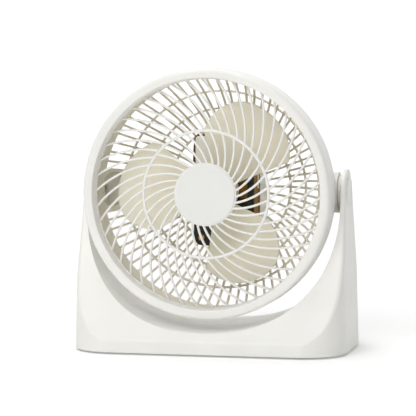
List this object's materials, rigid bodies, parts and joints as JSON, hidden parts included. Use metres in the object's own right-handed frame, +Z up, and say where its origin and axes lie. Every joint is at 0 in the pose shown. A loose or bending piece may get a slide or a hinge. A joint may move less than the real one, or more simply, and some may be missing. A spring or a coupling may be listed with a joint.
{
  "type": "table air circulator fan",
  "caption": "Table air circulator fan with a round drum head, swept front guard and wide blades, tilting between the arms of a U-shaped cradle base.",
  "frame": {"origin": "middle of the base, at the level of the surface it stands on", "axes": "+Z up, -Y the way the fan blows, +X to the right seen from the front"},
  "size_m": [0.2698, 0.1614, 0.2767],
  "materials": {
    "shell_white": "satin moulded plastic, fine even texture",
    "cover_white": "matt moulded plastic",
    "grille_white": "satin moulded plastic",
    "housing_white": "satin moulded plastic",
    "badge": "fine matt plastic",
    "blade_ivory": "smooth warm off-white plastic",
    "knob_white": "fine matt plastic",
    "rubber": "matt rubber",
    "nylon": "natural nylon",
    "zinc_steel": "zinc plated",
    "brass": "sintered bronze and brass plating",
    "copper": "enamelled copper wire",
    "laminations": "varnished steel laminations",
    "black_plate": "black painted steel",
    "black_plastic": "black moulded plastic"
  },
  "bodies": {
    "base": {"base_shell": "shell_white", "base_bottom_cover": "cover_white", "base_cover_screw_1": "zinc_steel", "base_cover_screw_2": "zinc_steel", "base_cover_screw_3": "zinc_steel", "base_cover_screw_4": "zinc_steel", "rubber_foot_1": "rubber", "rubber_foot_2": "rubber", "rubber_foot_3": "rubber", "rubber_foot_4": "rubber", "pivot_cap_left": "shell_white", "pivot_cap_right": "shell_white", "friction_bush_left": "nylon", "friction_bush_right": "nylon"},
    "head": {"front_grille": "grille_white", "centre_badge": "badge", "grille_lock_screw": "zinc_steel", "rear_housing": "housing_white", "pivot_washer_left": "zinc_steel", "pivot_washer_right": "zinc_steel", "pivot_screw_left": "zinc_steel", "pivot_screw_right": "zinc_steel", "motor_bracket_front": "black_plate", "motor_bracket_rear": "black_plate", "lead_cover": "housing_white", "stator_core": "laminations", "stator_coil": "copper", "bearing_front": "brass", "bearing_rear": "brass", "motor_screw_1": "brass", "motor_screw_2": "brass", "motor_screw_3": "brass", "motor_screw_4": "brass", "rear_motor_cover": "shell_white", "cover_screw_1": "zinc_steel", "cover_screw_2": "zinc_steel", "cover_screw_3": "zinc_steel", "cover_screw_4": "zinc_steel", "speed_switch_body": "black_plastic", "cord_gland": "rubber"},
    "impeller": {"fan_blade": "blade_ivory", "blade_nut": "black_plate", "motor_shaft": "zinc_steel", "motor_rotor": "laminations"},
    "knob": {"speed_knob": "knob_white", "switch_shaft": "zinc_steel"}
  },
  "joints": [
    {"name": "head_tilt", "type": "hinge", "parent": "base", "child": "head", "pos_m": [0, 0, 0.155], "axis": [-1, 0, 0], "range_deg": [-10, 90]},
    {"name": "impeller_spin", "type": "hinge", "parent": "head", "child": "impeller", "pos_m": [0, 0, 0.155], "axis": [0, -1, 0], "continuous": true},
    {"name": "speed_select", "type": "hinge", "parent": "head", "child": "knob", "pos_m": [0, 0, 0.155], "axis": [0, -1, 0], "range_deg": [0, 135]}
  ]
}
